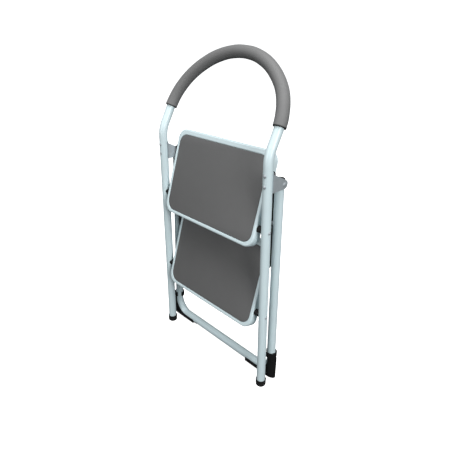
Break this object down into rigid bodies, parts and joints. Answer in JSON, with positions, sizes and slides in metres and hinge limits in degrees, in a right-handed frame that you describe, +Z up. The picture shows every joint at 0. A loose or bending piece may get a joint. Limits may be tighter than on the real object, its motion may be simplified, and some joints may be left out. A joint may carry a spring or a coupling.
{
  "type": "step stool",
  "caption": "Folding two-step stool of bent round tube with an arched foam-wrapped hand hoop, sheet treads with mats, a swinging rear frame and side link bars, shown folded.",
  "frame": {"origin": "on the floor under the front feet, midway between the sides and midway along the folded stool's depth", "axes": "+Z up, +Y from the climbing side towards the back, +X towards the right side of someone looking along +Y"},
  "size_m": [0.483, 0.1632, 0.9486],
  "materials": {
    "white_paint": "white powder coat with a faint blue-grey cast, slight orange peel",
    "tread_paint": "white powder coat on pressed sheet",
    "mat": "matt grey anti-slip mat with a fine grain",
    "foam": "matt dark grey closed-cell foam",
    "black_rubber": "black moulded rubber",
    "black_plastic": "satin black moulded plastic",
    "black_paint": "satin black paint on flat steel",
    "zinc": "bright zinc plate",
    "nylon": "natural nylon"
  },
  "bodies": {
    "front_frame": {"front_frame_tube": "white_paint", "foam_grip": "foam", "bracket_rivets": "zinc", "front_foot_cap_left": "black_rubber", "front_foot_cap_right": "black_rubber", "hinge_bracket_left": "zinc", "hinge_bracket_right": "zinc", "hinge_pin_left": "zinc", "hinge_pin_right": "zinc", "upper_pivot_rivets": "zinc", "lower_pivot_rivets": "zinc", "upper_spacer_left": "black_plastic", "upper_spacer_right": "black_plastic", "lower_spacer_left": "black_plastic", "lower_spacer_right": "black_plastic"},
    "rear_frame": {"rear_frame_tube": "white_paint", "rear_leg_cap_left": "black_plastic", "rear_leg_cap_right": "black_plastic", "corner_shoe_left": "black_plastic", "corner_shoe_right": "black_plastic", "slide_pin_left": "zinc", "slide_pin_right": "zinc"},
    "upper_tread": {"upper_tread_tray": "tread_paint", "upper_tread_mat": "mat", "upper_link_rivets": "zinc", "upper_link_washers": "nylon"},
    "lower_tread": {"lower_tread_tray": "tread_paint", "lower_tread_mat": "mat", "lower_link_rivets": "zinc", "lower_link_washers": "nylon"},
    "left_link": {"link_bar_left": "black_paint"},
    "right_link": {"link_bar_right": "black_paint"}
  },
  "joints": [
    {"name": "rear_frame_fold", "type": "hinge", "parent": "front_frame", "child": "rear_frame", "pos_m": [0, -0.00653, 0.6316], "axis": [1, 0, 0], "range_deg": [0, 47.95]},
    {"name": "upper_tread_fold", "type": "hinge", "parent": "front_frame", "child": "upper_tread", "pos_m": [0, -0.05443, 0.511], "axis": [-1, 0, 0], "range_deg": [0, 50]},
    {"name": "lower_tread_fold", "type": "hinge", "parent": "front_frame", "child": "lower_tread", "pos_m": [0, -0.05443, 0.25], "axis": [-1, 0, 0], "range_deg": [0, 50]},
    {"name": "left_link_turn", "type": "hinge", "parent": "upper_tread", "child": "left_link", "pos_m": [-0.19435, -0.01253, 0.64804], "axis": [1, 0, 0], "range_deg": [0, 50]},
    {"name": "right_link_turn", "type": "hinge", "parent": "upper_tread", "child": "right_link", "pos_m": [0.19435, -0.01253, 0.64804], "axis": [1, 0, 0], "range_deg": [0, 50]}
  ],
  "couplings": [
    {"joint": "upper_tread_fold", "follows": "rear_frame_fold", "ratio": 1.0428},
    {"joint": "lower_tread_fold", "follows": "rear_frame_fold", "ratio": 1.0428},
    {"joint": "left_link_turn", "follows": "rear_frame_fold", "ratio": 1.0428},
    {"joint": "right_link_turn", "follows": "rear_frame_fold", "ratio": 1.0428}
  ]
}
